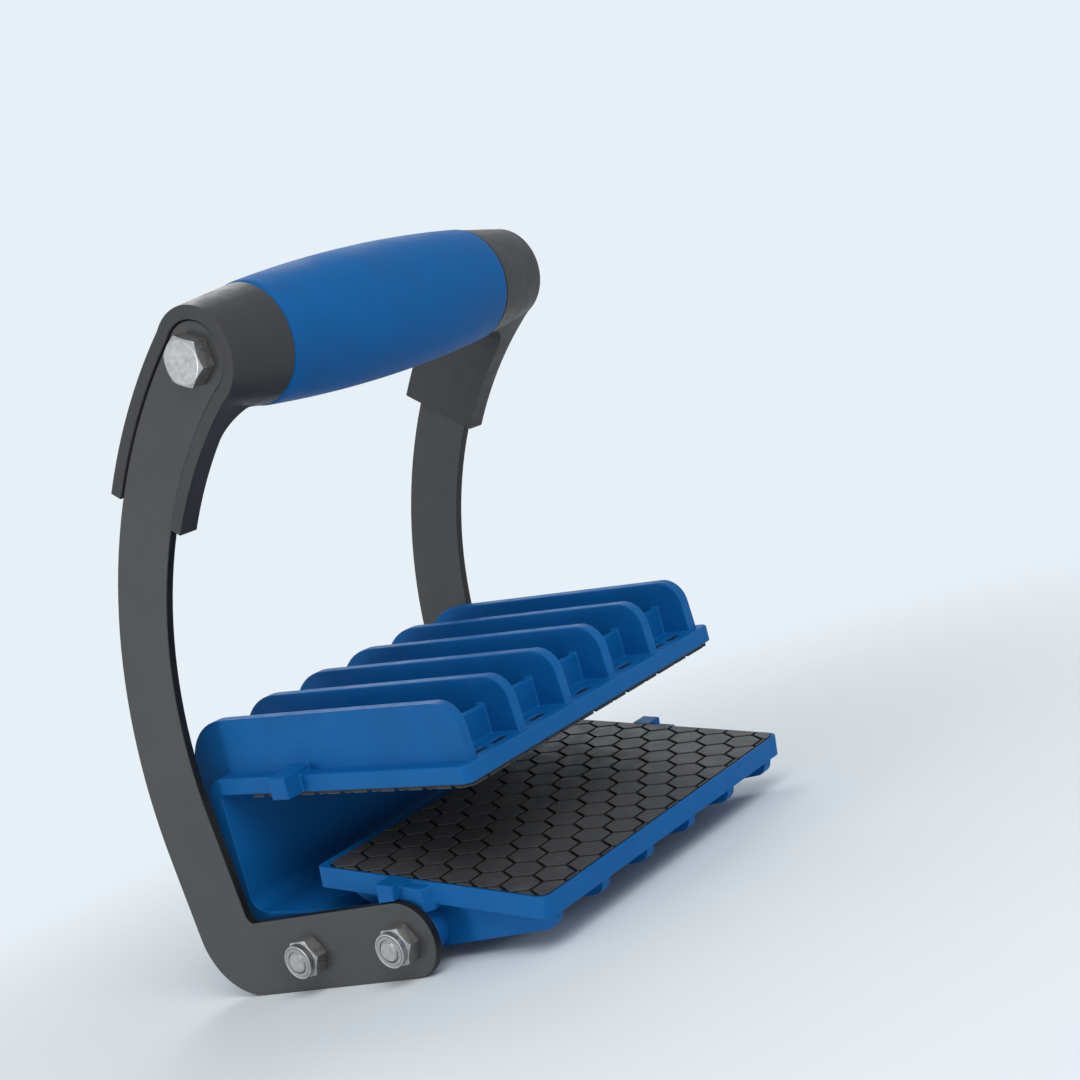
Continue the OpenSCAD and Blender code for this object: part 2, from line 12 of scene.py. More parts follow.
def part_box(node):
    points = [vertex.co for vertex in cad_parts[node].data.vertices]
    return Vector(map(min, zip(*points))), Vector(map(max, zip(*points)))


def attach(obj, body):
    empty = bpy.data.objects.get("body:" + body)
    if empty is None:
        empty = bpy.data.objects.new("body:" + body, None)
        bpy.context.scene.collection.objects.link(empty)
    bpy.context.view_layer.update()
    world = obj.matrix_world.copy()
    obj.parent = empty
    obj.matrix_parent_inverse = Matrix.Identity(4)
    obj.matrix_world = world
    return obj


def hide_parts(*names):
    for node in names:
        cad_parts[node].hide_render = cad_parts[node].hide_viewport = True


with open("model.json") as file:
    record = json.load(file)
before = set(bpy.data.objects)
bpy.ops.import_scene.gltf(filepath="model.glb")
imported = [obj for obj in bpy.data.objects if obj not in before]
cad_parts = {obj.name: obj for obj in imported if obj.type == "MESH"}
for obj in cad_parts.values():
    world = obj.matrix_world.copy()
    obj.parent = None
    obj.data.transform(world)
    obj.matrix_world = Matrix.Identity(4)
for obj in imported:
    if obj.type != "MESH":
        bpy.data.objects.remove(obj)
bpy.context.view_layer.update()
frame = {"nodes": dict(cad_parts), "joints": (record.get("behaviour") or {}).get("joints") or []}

MM = 0.001
NODES = frame["nodes"]
PIVOTS = {joint["child"]: Vector(joint["pos_m"]) for joint in frame["joints"]}

# Level seams through the handle and through the pivots, each as a point and a normal
UP = Vector((0, 0, 1))
AT_HANDLE = (sum(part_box("handle_grip"), Vector()) / 2, UP)
AT_PIVOTS = (PIVOTS["upper_jaw"], UP)

# Rounding of the edges: the widest round on each kind of piece, and the steps across a round
ARM_ROUND = 0.5 * MM
SOCKET_ROUND = 0.5 * MM
JAW_ROUND = 0.8 * MM
HARDWARE_ROUND = 0.25 * MM
ROUND_STEPS = 4
# Edges whose faces turn by more than this are sharp, and a softened piece has them rounded
SHARP_TURN = math.radians(25)
# Edges whose faces still turn by more than this after the rounding are shaded as sharp
SHADE_TURN = math.radians(32)
# Share of a narrow face that the round along one of its edges may take
ROUND_SHARE = 0.42
# Longest run of a round's end along the edges of a pointed corner
POINT_RUN = 1.2 * MM
# Least sine of the corner at which the edge beside a rounded one limits its round
SLANT = 0.35
# Least cosine, to the direction square to an edge, at which a corner lies in front of the edge
FACING = 0.5
# Points closer than this are one point
WELD = 0.002 * MM
# Faces that turn by less than this are one face
FLAT_TURN = math.radians(0.3)
# Points closer than this to a seam lie on it
SEAM_SNAP = 0.06 * MM
# Rounds within this reach of a crossed or folded face are narrowed to these shares, one after the other
EASE_REACH = 1.6 * MM
EASE_SHARES = (0.6, 0.5, 0.4, 0.0)
# A face is folded where it turns from its neighbour by more than this
FOLD_TURN = math.radians(135)
# A face is crossed where one of its triangles has less than this cosine to the face's direction
CROSS_COSINE = 0.2
# Crossed and folded faces smaller than this are left
FLAW_AREA = 0.004 * MM * MM

# Rubber pads: six-sided tiles parted by grooves, in columns along X and rows along Y
TILE_COLUMN = 10.4 * MM
TILE_ROW = 12.8 * MM
# Length of the flat sides of a tile's cell
TILE_FLAT = 7.0 * MM
# Place of the pattern from the jaw's pivot
TILE_X = 3.0 * MM
TILE_Y = 2.3 * MM
GROOVE_W = 1.3 * MM
GROOVE_DEPTH = 0.9 * MM
TILE_ROUND = 0.15 * MM
PAD_CORNER = 4.0 * MM
PAD_CORNER_STEPS = 8
# Depth to which the pegs on a pad's back are rooted in it
PEG_ROOT = 0.5 * MM
# Outlines of a plan are joined within this reach, and its faces are whole ones without holes
PLAN_REACH = 1e-7
WHOLE_FACES = 4

# Grip: round of its ends, and points round and along it
GRIP_END_ROUND = 2.0 * MM
GRIP_SIDES = 144
GRIP_ROWS = 64
GRIP_END_ROWS = 6

# Thread at the end of a pivot bolt, with the bevel of its tip and the distance between its rings of points
THREAD_PITCH = 1.25 * MM
THREAD_DEPTH = 0.6 * MM
THREAD_LENGTH = 8.0 * MM
THREAD_TIP = 0.8 * MM
THREAD_SIDES = 72
THREAD_ROW = 0.1 * MM
# Shares of half a pitch that a crest and a flank take
CREST_SHARE = 0.12
FLANK_SHARE = 0.72

# Colours, from 0 to 255 as in print
JAW_BLUE = (12, 94, 160)
GRIP_BLUE = (12, 94, 160)
HANDLING_BLUE = (150, 170, 190)
ARM_GREY = (67, 68, 69)
SOCKET_GREY = (54, 54, 56)
PAD_BLACK = (64, 64, 65)
WEAR_GREY = (96, 96, 98)
# Painted shade, deep black, low in the pads' grooves
GROOVE_SHADE = (12, 12, 13)
STEEL_GREY = (176, 174, 173)
HAZE_GREY = (150, 146, 140)
NYLON_GREY = (150, 152, 154)
BACKDROP = (232, 240, 247)

# Moulded plastic: flow streaks, handling marks, grain and sink marks, and how rough it is, from least to most
FLOW_SIZE = 26 * MM
FLOW_STRETCH = (0.35, 1.0, 1.0)
HANDLING_SIZE = 7 * MM
GRAIN_SIZE = 0.55 * MM
GRAIN_HEIGHT = 0.035 * MM
SINK_SIZE = 9 * MM
SINK_HEIGHT = 0.05 * MM
SOCKET_ROUGH = (0.39, 0.53)
JAW_ROUGH = (0.41, 0.55)

# Soft grip: dusty patches, stipple and pebbling
DUST_SIZE = 18 * MM
STIPPLE_SIZE = 0.75 * MM
STIPPLE_DEPTH = 0.05 * MM
STIPPLE_SHADE = 1.35
PEBBLE_SIZE = 2.4 * MM
PEBBLE_HEIGHT = 0.05 * MM
GRIP_ROUGH = (0.55, 0.68)

# Powder coat: clouds, specks, orange peel and rubbing along the arms
COAT_CLOUD_SIZE = 34 * MM
SPECK_SIZE = 0.32 * MM
SPECK_HEIGHT = 0.02 * MM
SPECK_SHADE = 2.0
PEEL_SIZE = 1.3 * MM
PEEL_HEIGHT = 0.07 * MM
RUBBING_SIZE = 11 * MM
RUBBING_STRETCH = (1.0, 1.0, 0.3)
COAT_ROUGH = (0.40, 0.54)
# Share of the arms' brightness that the painted shade leaves on their cut edges
EDGE_SHADE = 0.16
# The painted shade on the cut edges fades out between these shares of an arm's thickness, from the middle of
# the bar
EDGE_DARK_SHARE = 0.36
EDGE_CLEAR_SHARE = 0.47

# Pad rubber: shade of the tiles, pale wear and pores
TILE_SHADE = 0.95
WEAR_SIZE = 6 * MM
PORE_SIZE = 0.4 * MM
PORE_HEIGHT = 0.04 * MM
PAD_ROUGH = (0.50, 0.66)
# The painted shade in the grooves fades out between these shares of their depth, from the floor up
GROOVE_DARK_SHARE = 0.35
GROOVE_CLEAR_SHARE = 0.8

# Zinc-plated steel: spangle, haze and turning marks
SPANGLE_SIZE = 1.8 * MM
HAZE_SIZE = 3 * MM
TURNING_SIZE = 0.8 * MM
TURNING_STRETCH = (6.0, 1.0, 1.0)
TURNING_HEIGHT = 0.012 * MM
STEEL_ROUGH = (0.26, 0.44)

# Nylon: clouding, skin, and how far light of each colour spreads in it
NYLON_CLOUD_SIZE = 2 * MM
SKIN_SIZE = 0.5 * MM
SKIN_HEIGHT = 0.02 * MM
NYLON_ROUGH = (0.34, 0.46)
NYLON_SPREAD = (1.2 * MM, 1.2 * MM, 1.2 * MM)

# Sockets of a mix node that take and give colours
MIX_FIRST = 6
MIX_SECOND = 7
MIX_RESULT = 2

# Camera: place, its right, up and back directions, lens and its frame in mm, and how near and far it sees
CAMERA_AT = (-0.52203, -0.49969, 0.17143)
CAMERA_RIGHT = (0.58047, -0.73981, -0.34020)
CAMERA_UP = (0.26840, -0.22061, 0.93771)
CAMERA_BACK = (-0.76877, -0.63562, 0.07051)
CAMERA_LENS = 64.27
CAMERA_SENSOR = 36.0
CAMERA_NEAR = 0.01
CAMERA_FAR = 20.0

# Floor disc: its size, the distances over which it fades out, and the size of its clouds
FLOOR_RADIUS = 0.62
FLOOR_SIDES = 96
FLOOR_FADE_FROM = 0.14
FLOOR_FADE_TO = 0.44
FLOOR_CLOUD_SIZE = 0.08

# Light: strength of the soft light all round and of the backdrop, and place, size and power of each lamp
AMBIENT = 0.41
BACKDROP_GLOW = 1.0
WHITE = (1.0, 1.0, 1.0, 1.0)
LAMPS = {
    "key_lamp": ((-0.55, -0.75, 1.05), 0.9, 7.0),
    "side_lamp": ((-1.2, 0.45, 0.14), 0.4, 4.0),
    "back_lamp": ((0.75, 0.65, 0.95), 0.7, 3.0),
    "front_lamp": ((-0.40, -1.10, 0.14), 0.6, 1.9),
}
LAMP_AIM = (0.0, 0.0, 0.11)


def linear(colour):
    """Colour given as 0 to 255 in print, as the renderer takes it."""
    return (*Color([c / 255 for c in colour]).from_srgb_to_scene_linear(), 1.0)


def shaded(colour, factor):
    """Lighter or darker shade of a colour."""
    return tuple(min(c * factor, 1.0) for c in colour[:3]) + (1.0,)


class Nodes:
    """Adds nodes to a material or to the world."""

    def __init__(self, owner):
        owner.use_nodes = True
        self.tree = owner.node_tree

    def add(self, kind, inputs=None, **settings):
        """New node with these settings, and with values or other nodes' outputs on its inputs."""
        node = self.tree.nodes.new(kind)
        for key, value in settings.items():
            setattr(node, key, value)
        for key, value in (inputs or {}).items():
            self.plug(value, node.inputs[key])
        return node

    def plug(self, value, socket):
        """Puts a value or another node's output on a socket."""
        if isinstance(value, bpy.types.NodeSocket):
            self.tree.links.new(value, socket)
        else:
            socket.default_value = value

    def computed(self, operation, *values):
        """Result of one operation on numbers or other nodes' outputs."""
        return self.add("ShaderNodeMath", dict(enumerate(values)), operation=operation).outputs["Value"]

    def blended(self, share, first, second):
        """Surface or light between two others."""
        return self.add("ShaderNodeMixShader", {0: share, 1: first, 2: second}).outputs["Shader"]


class Shader(Nodes):
    """Builds one material node by node."""

    def __init__(self, name):
        self.material = bpy.data.materials.new(name)
        super().__init__(self.material)
        self.surface = self.tree.nodes["Principled BSDF"]
        self.place = self.add("ShaderNodeTexCoord").outputs["Object"]

    def stretched(self, scale):
        """Places squeezed along each axis, for a pattern that runs one way."""
        return self.add("ShaderNodeMapping", {"Vector": self.place, "Scale": scale}).outputs["Vector"]

    def noise(self, size, detail, place=None, roughness=0.5):
        """Cloudy pattern whose patches are about size across."""
        inputs = {"Vector": place or self.place, "Scale": 1 / size, "Detail": detail, "Roughness": roughness}
        return self.add("ShaderNodeTexNoise", inputs).outputs["Fac"]

    def cells(self, size):
        """Cell pattern, as the distance inside each cell."""
        inputs = {"Vector": self.place, "Scale": 1 / size}
        return self.add("ShaderNodeTexVoronoi", inputs, feature="F1").outputs["Distance"]

    def mapped(self, value, low, high, from_low=0.3, from_high=0.7):
        """Value brought from one range to another, with soft ends."""
        inputs = {"Value": value, "From Min": from_low, "From Max": from_high, "To Min": low, "To Max": high}
        return self.add("ShaderNodeMapRange", inputs, interpolation_type="SMOOTHSTEP").outputs["Result"]

    def mixed(self, share, first, second):
        """Colour between two others."""
        inputs = {"Factor": share, MIX_FIRST: first, MIX_SECOND: second}
        return self.add("ShaderNodeMix", inputs, data_type="RGBA").outputs[MIX_RESULT]

    def mottled(self, base, pattern, darkest, palest, **pattern_range):
        """Colour that follows a pattern between two shades of a base."""
        share = self.mapped(pattern, 0.0, 1.0, **pattern_range)
        return self.mixed(share, shaded(base, darkest), shaded(base, palest))

    def marked(self, tone, pattern, colour, strength, from_low, from_high):
        """Colour with marks of another one, which reach this strength where a pattern is high."""
        return self.mixed(self.mapped(pattern, 0.0, strength, from_low, from_high), tone, colour)

    def bumped(self, height, distance, normal=None):
        """Relief that follows a pattern, on top of another relief if one is given."""
        inputs = {"Height": height, "Distance": distance, "Strength": 1.0}
        if normal is not None:
            inputs["Normal"] = normal
        return self.add("ShaderNodeBump", inputs).outputs["Normal"]

    def finish(self, **inputs):
        """The material, with these inputs on its surface."""
        for key, value in inputs.items():
            self.plug(value, self.surface.inputs[key.replace("_", " ")])
        return self.material


def moulded_plastic(name, colour, rough, specular):
    """Satin moulded plastic: fine even grain, faint flow streaks and a few dull handling marks."""
    look = Shader(name)
    flow = look.noise(FLOW_SIZE, detail=4.0, place=look.stretched(FLOW_STRETCH))
    tone = look.mottled(linear(colour), flow, darkest=0.94, palest=1.06)
    handling = look.noise(HANDLING_SIZE, detail=5.0, roughness=0.62)
    tone = look.marked(tone, handling, linear(HANDLING_BLUE), strength=0.03, from_low=0.58, from_high=0.78)
    grain = look.bumped(look.noise(GRAIN_SIZE, detail=2.0), GRAIN_HEIGHT)
    sinks = look.bumped(look.noise(SINK_SIZE, detail=1.0), SINK_HEIGHT, grain)
    return look.finish(
        Base_Color=tone, Roughness=look.mapped(handling, *rough), Normal=sinks, Specular_IOR_Level=specular
    )


def soft_grip(name, colour):
    """Soft matte rubber: dense fine stipple, a slight sheen and faint dusty patches."""
    look = Shader(name)
    base = linear(colour)
    dust = look.noise(DUST_SIZE, detail=4.0)
    tone = look.mottled(base, dust, darkest=0.93, palest=1.07)
    stipple = look.cells(STIPPLE_SIZE)
    dots = look.mapped(stipple, 0.10, 0.0, from_low=0.1, from_high=0.6)
    tone = look.mixed(dots, tone, shaded(base, STIPPLE_SHADE))
    pitted = look.bumped(stipple, -STIPPLE_DEPTH)
    pebbled = look.bumped(look.noise(PEBBLE_SIZE, detail=2.0), PEBBLE_HEIGHT, pitted)
    return look.finish(
        Base_Color=tone, Roughness=look.mapped(dust, *GRIP_ROUGH), Normal=pebbled, Specular_IOR_Level=0.14,
        Sheen_Weight=0.05, Sheen_Roughness=0.4,
    )


def cut_edge_shade(look):
    """Mask of the painted shade: 1 on the cut edges of both arms and 0 on their flat sides."""
    low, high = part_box("left_arm")[0].x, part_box("right_arm")[1].x
    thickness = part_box("left_arm")[1].x - low
    x = look.add("ShaderNodeSeparateXYZ", {"Vector": look.place}).outputs["X"]
    from_middle = look.computed("ABSOLUTE", look.computed("SUBTRACT", x, (low + high) / 2))
    core = (high - low - thickness) / 2
    from_core = look.computed("ABSOLUTE", look.computed("SUBTRACT", from_middle, core))
    return look.mapped(
        from_core, 1.0, 0.0, from_low=thickness * EDGE_DARK_SHARE, from_high=thickness * EDGE_CLEAR_SHARE
    )


def powder_coat(name, colour):
    """Powder coating on steel bars, with painted shade on the cut edges: orange peel, pale specks and slight
    rubbing.
    """
    look = Shader(name)
    base = linear(colour)
    tone = look.mottled(base, look.noise(COAT_CLOUD_SIZE, detail=3.0), darkest=0.94, palest=1.07)
    speck = look.noise(SPECK_SIZE, detail=1.0)
    tone = look.marked(tone, speck, shaded(base, SPECK_SHADE), strength=0.30, from_low=0.60, from_high=0.80)
    # Painted shade darkens the arms' cut edges
    tone = look.mixed(cut_edge_shade(look), tone, shaded(base, EDGE_SHADE))
    peel = look.bumped(look.noise(PEEL_SIZE, detail=2.0), PEEL_HEIGHT)
    sand = look.bumped(speck, SPECK_HEIGHT, peel)
    rubbing = look.noise(RUBBING_SIZE, detail=5.0, place=look.stretched(RUBBING_STRETCH), roughness=0.6)
    return look.finish(
        Base_Color=tone, Roughness=look.mapped(rubbing, *COAT_ROUGH), Normal=sand, Specular_IOR_Level=0.3
    )


def pad_rubber(name, colour, groove_place, normal):
    """Black rubber: dull, finely open tiles with faint wear, and painted shade that is deep black from the
    grooves' floor down.

    The normal points out of the gripping face, from a place on the floor of the grooves.
    """
    look = Shader(name)
    wear = look.noise(WEAR_SIZE, detail=5.0, roughness=0.6)
    tone = shaded(linear(colour), TILE_SHADE)
    tone = look.marked(tone, wear, linear(WEAR_GREY), strength=0.22, from_low=0.45, from_high=0.75)
    outward = look.add("ShaderNodeVectorMath", {0: look.place, 1: normal}, operation="DOT_PRODUCT")
    height = look.computed("SUBTRACT", outward.outputs["Value"], groove_place.dot(normal))
    raised = look.mapped(
        height, 0.0, 1.0,
        from_low=GROOVE_DEPTH * GROOVE_DARK_SHARE, from_high=GROOVE_DEPTH * GROOVE_CLEAR_SHARE,
    )
    # Painted shade: black at the grooves' floor and below it, fading out up their walls
    tone = look.mixed(raised, linear(GROOVE_SHADE), tone)
    pores = look.bumped(look.noise(PORE_SIZE, detail=3.0), PORE_HEIGHT)
    return look.finish(
        Base_Color=tone, Roughness=look.mapped(wear, *PAD_ROUGH), Normal=pores, Specular_IOR_Level=0.4
    )


def zinc_steel(name, colour):
    """Zinc-plated steel: turning marks round the bolt axis, faint spangle and duller patches."""
    look = Shader(name)
    spangle = look.cells(SPANGLE_SIZE)
    tone = look.mottled(linear(colour), spangle, darkest=0.90, palest=1.06, from_low=0.0, from_high=0.9)
    haze = look.noise(HAZE_SIZE, detail=4.0)
    tone = look.marked(tone, haze, linear(HAZE_GREY), strength=0.5, from_low=0.5, from_high=0.8)
    turning = look.noise(TURNING_SIZE, detail=3.0, place=look.stretched(TURNING_STRETCH))
    return look.finish(
        Base_Color=tone, Metallic=0.92, Roughness=look.mapped(haze, *STEEL_ROUGH),
        Normal=look.bumped(turning, TURNING_HEIGHT),
    )


def clear_nylon(name, colour):
    """Milky nylon: faint clouding under a smooth skin."""
    look = Shader(name)
    cloud = look.noise(NYLON_CLOUD_SIZE, detail=3.0)
    tone = look.mottled(linear(colour), cloud, darkest=0.93, palest=1.03)
    skin = look.bumped(look.noise(SKIN_SIZE, detail=2.0), SKIN_HEIGHT)
    return look.finish(
        Base_Color=tone, Roughness=look.mapped(cloud, *NYLON_ROUGH), Normal=skin, Subsurface_Weight=0.15,
        Subsurface_Radius=NYLON_SPREAD,
    )


MATERIALS = {
    "arm_paint": powder_coat("powder_coat", ARM_GREY),
    "socket_plastic": moulded_plastic("socket_plastic", SOCKET_GREY, SOCKET_ROUGH, specular=0.3),
    "grip_rubber": soft_grip("soft_grip", GRIP_BLUE),
    "jaw_plastic": moulded_plastic("jaw_plastic", JAW_BLUE, JAW_ROUGH, specular=0.12),
    "zinc_steel": zinc_steel("zinc_steel", STEEL_GREY),
    "nylon": clear_nylon("nylon", NYLON_GREY),
}


def coated(node, material):
    """Gives a CAD node its finish."""
    for place in NODES[node].material_slots:
        place.material = material


def dressed(mesh, name, node, body, slot, material=None):
    """A piece made of a mesh, which stands for a CAD node and moves with a body."""
    mesh.materials.clear()
    mesh.materials.append(material or MATERIALS[slot])
    piece = bpy.data.objects.new(name, mesh)
    bpy.context.scene.collection.objects.link(piece)
    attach(piece, body)
    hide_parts(node)
    return piece


def written(bm, mesh):
    """Mesh that a working copy is written to, smooth all over."""
    for face in bm.faces:
        face.smooth = True
    bm.to_mesh(mesh)
    bm.free()
    return mesh


def mesh_from(bm, name):
    """New mesh of a working copy."""
    return written(bm, bpy.data.meshes.new(name))


def whole(bm):
    """All corners, edges and faces of a working copy."""
    return bm.verts[:] + bm.edges[:] + bm.faces[:]


def welded(node, seams=()):
    """Working copy of a CAD node's mesh, with each flat side as one face.

    A seam is a plane, as a point and a normal, that parts the sides that it crosses. A side with a hole
    needs one.
    """
    bm = bmesh.new()
    bm.from_mesh(NODES[node].data)
    bmesh.ops.remove_doubles(bm, verts=bm.verts, dist=WELD)
    for point, normal in seams:
        cut = bmesh.ops.bisect_plane(bm, geom=whole(bm), dist=SEAM_SNAP, plane_co=point, plane_no=normal)
        for item in cut["geom_cut"]:
            if isinstance(item, bmesh.types.BMEdge):
                item.seam = True
    bmesh.ops.dissolve_limit(
        bm, angle_limit=FLAT_TURN, verts=bm.verts, edges=bm.edges, delimit={"SEAM"}
    )
    return bm


def is_sharp(edge):
    """Whether an edge takes a round."""
    return len(edge.link_faces) == 2 and edge.calc_face_angle() > SHARP_TURN


def inward(loop):
    """Direction from a face's edge into the face."""
    along = loop.link_loop_next.vert.co - loop.vert.co
    return loop.face.normal.cross(along).normalized()


def nearest(place, start, end):
    """Point of a straight edge that is nearest to a place."""
    _, along = intersect_point_line(place, start, end)
    return start.lerp(end, min(max(along, 0.0), 1.0))


def faced_gap(corner, loop):
    """Distance from a face's edge to one of the face's corners, if the corner lies in front of the edge."""
    away = corner - nearest(corner, loop.vert.co, loop.link_loop_next.vert.co)
    gap = away.length
    return gap if gap > WELD and away.dot(inward(loop)) > FACING * gap else None


def corner_width(loop, edges, sharp):
    """Widest round that the corner between two edges of a face leaves to those of them that are sharp."""
    turn = loop.calc_angle()
    if len(sharp) == 2:
        run = min(min(edge.calc_length() for edge in edges) * ROUND_SHARE, POINT_RUN)
        return run * math.tan(turn / 2)
    if math.sin(turn) > SLANT:
        beside = edges[1] if sharp[0] is edges[0] else edges[0]
        return beside.calc_length() * ROUND_SHARE * math.sin(turn)
    return math.inf


def round_widths(bm, widest):
    """Width of each sharp edge's round: the widest, or less beside a narrow face or at a pointed corner."""
    widths = {edge: widest for edge in bm.edges if is_sharp(edge)}

    def narrow(edges, width):
        for edge in edges:
            widths[edge] = min(widths[edge], width)

    for face in bm.faces:
        sharp_loops = [loop for loop in face.loops if loop.edge in widths]
        for loop in face.loops:
            edges = (loop.link_loop_prev.edge, loop.edge)
            sharp = [edge for edge in edges if edge in widths]
            for other in sharp_loops:
                gap = None if other.edge in edges else faced_gap(loop.vert.co, other)
                if gap:
                    narrow(sharp + [other.edge], gap * ROUND_SHARE)
            if sharp and loop.is_convex:
                narrow(sharp, corner_width(loop, edges, sharp))
    even_out(widths)
    return widths


def even_out(widths):
    """Gives each run of edges that meet end to end one width: its narrowest."""
    left = dict(widths)
    while left:
        run, waiting = [], [next(iter(left))]
        left.pop(waiting[0])
        while waiting:
            edge = waiting.pop()
            run.append(edge)
            for corner in edge.verts:
                sharp = [e for e in corner.link_edges if e in widths]
                if len(sharp) == 2:
                    waiting += [e for e in sharp if left.pop(e, None) is not None]
        narrowest = min(widths[edge] for edge in run)
        widths.update(dict.fromkeys(run, narrowest))


def crossings(corners, normal):
    """Places where the outline of a flat face crosses itself."""
    across = normal.orthogonal()
    axes = Matrix((across, normal.cross(across), normal))
    flat = [axes @ corner for corner in corners]
    sides = list(zip(flat, flat[1:] + flat[:1]))
    found = []
    for i, (a, b) in enumerate(sides):
        # Neighbouring sides only meet, and the last side is a neighbour of the first
        stop = len(sides) - 1 if i == 0 else len(sides)
        for c, d in sides[i + 2:stop]:
            hit = intersect_line_line_2d(a.xy, b.xy, c.xy, d.xy)
            if hit is not None:
                found.append(axes.transposed() @ Vector((hit.x, hit.y, a.z)))
    return found


def crossed_places(mesh):
    """Places where a face of a mesh crosses itself, or the face's corners if they can't be told."""
    mesh.calc_loop_triangles()
    crossed = set()
    for part in mesh.loop_triangles:
        cosine = part.normal.dot(mesh.polygons[part.polygon_index].normal)
        if part.area > FLAW_AREA and cosine < CROSS_COSINE:
            crossed.add(part.polygon_index)
    found = []
    for index in sorted(crossed):
        face = mesh.polygons[index]
        corners = [mesh.vertices[i].co for i in face.vertices]
        found += crossings(corners, face.normal) or [corner.copy() for corner in corners]
    return found


def folded_places(mesh):
    """Corners of the faces of a mesh that fold back over a larger neighbour."""
    found = []
    bm = bmesh.new()
    bm.from_mesh(mesh)
    for edge in bm.edges:
        if len(edge.link_faces) == 2 and edge.calc_face_angle(0.0) > FOLD_TURN:
            smaller = min(edge.link_faces, key=lambda face: face.calc_area())
            if smaller.calc_area() > FLAW_AREA:
                found += [corner.co.copy() for corner in smaller.verts]
    bm.free()
    return found


def is_near(edge, places):
    """Whether an edge runs close to one of these places."""
    start, end = (v.co for v in edge.verts)
    return any((place - nearest(place, start, end)).length < EASE_REACH for place in places)


def with_rounds(bm, weight, widths, widest, name):
    """Mesh of a working copy with a round of the given width along each given edge."""
    for edge, width in widths.items():
        edge[weight] = width / widest
    plain = bpy.data.objects.new(name, mesh_from(bm.copy(), name))
    bpy.context.scene.collection.objects.link(plain)
    rounding = plain.modifiers.new("edge_rounds", "BEVEL")
    rounding.limit_method = "WEIGHT"
    rounding.width = widest
    rounding.segments = ROUND_STEPS
    rounding.use_clamp_overlap = False
    mesh = bpy.data.meshes.new_from_object(plain.evaluated_get(bpy.context.evaluated_depsgraph_get()))
    bpy.data.objects.remove(plain)
    return mesh


def rounded(bm, name, widest):
    """Mesh of a working copy with its sharp edges rounded, less so where the rounds would cross or fold."""
    bm.normal_update()
    weight = bm.edges.layers.float.new("bevel_weight_edge")
    widths = round_widths(bm, widest)
    mesh = with_rounds(bm, weight, widths, widest, name)
    for share in EASE_SHARES:
        places = crossed_places(mesh) + folded_places(mesh)
        if not places:
            break
        for edge in widths:
            if is_near(edge, places):
                widths[edge] *= share
        if share > 0:
            even_out(widths)
        mesh = with_rounds(bm, weight, widths, widest, name)
    bm.free()
    mesh.set_sharp_from_angle(angle=SHADE_TURN)
    return mesh


def flat_sided(piece):
    """Shades the flat sides of a piece as flat up to their rounds."""
    shading = piece.modifiers.new("flat_sides", "WEIGHTED_NORMAL")
    shading.keep_sharp = True
    return piece


def softened(node, name, body, slot, widest, seams=()):
    """Copy of a CAD node with its sharp edges rounded, which stands for the node."""
    mesh = rounded(welded(node, seams), name, widest)
    return flat_sided(dressed(mesh, name, node, body, slot))


def turns(sides):
    """Equal turns round a circle."""
    return [2 * math.pi * k / sides for k in range(sides)]


def ring_x(bm, centre, radii):
    """Ring of points round the X axis through a centre, one for each radius."""
    ring = []
    for turn, radius in zip(turns(len(radii)), radii):
        ring.append(bm.verts.new(centre + Vector((0, radius * math.cos(turn), radius * math.sin(turn)))))
    return ring


def band(bm, near, far):
    """Faces from one ring of points to the next one."""
    made = []
    for k in range(len(near)):
        m = (k + 1) % len(near)
        made.append(bm.faces.new((near[k], near[m], far[m], far[k])))
    return made


def grip_profile(half, middle_r, end_r, bore_r):
    """Closed profile of the grip as (x, radius): an arc along its length, rounded ends and the bore."""
    bulge = middle_r - end_r
    bulge_r = (half * half + bulge * bulge) / (2 * bulge)

    def barrel(x):
        return middle_r - bulge_r + math.sqrt(bulge_r * bulge_r - x * x)

    start = half - GRIP_END_ROUND
    rows = [start * (2 * i / GRIP_ROWS - 1) for i in range(GRIP_ROWS + 1)]
    outer = [(x, barrel(x)) for x in rows]
    shoulder = barrel(start) - GRIP_END_ROUND
    turn_out = []
    for i in range(1, GRIP_END_ROWS + 1):
        turn = math.pi / 2 * (1 - i / GRIP_END_ROWS)
        turn_out.append((start + GRIP_END_ROUND * math.cos(turn), shoulder + GRIP_END_ROUND * math.sin(turn)))
    turn_in = [(-x, r) for x, r in reversed(turn_out)]
    return turn_in + outer + turn_out + [(half, bore_r), (-half, bore_r)]


def grip():
    """The grip: a barrel with rounded ends round its bore."""
    low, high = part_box("handle_grip")
    centre = (low + high) / 2
    half = (high.x - low.x) / 2
    points = [v.co - centre for v in NODES["handle_grip"].data.vertices]
    turned = [(p.x, math.hypot(p.y, p.z)) for p in points]
    end_r = max(r for x, r in turned if abs(abs(x) - half) < WELD)
    bore_r = min(r for x, r in turned)
    bm = bmesh.new()
    rings = []
    for x, radius in grip_profile(half, (high.z - low.z) / 2, end_r, bore_r):
        rings.append(ring_x(bm, centre + Vector((x, 0, 0)), [radius] * GRIP_SIDES))
    for near, far in zip(rings, rings[1:] + rings[:1]):
        band(bm, near, far)
    bmesh.ops.recalc_face_normals(bm, faces=bm.faces)
    mesh = mesh_from(bm, "grip_sleeve")
    mesh.set_sharp_from_angle(angle=SHARP_TURN)
    return dressed(mesh, "grip_sleeve", "handle_grip", "frame", "grip_rubber")


def thread_radius(x, turn, major):
    """Radius of a thread at a place along it: flanks that meet in narrow crests and roots."""
    phase = (x / THREAD_PITCH - turn / (2 * math.pi)) % 1.0
    from_crest = abs(2 * phase - 1)
    return major - THREAD_DEPTH * min(max((from_crest - CREST_SHARE) / FLANK_SHARE, 0.0), 1.0)


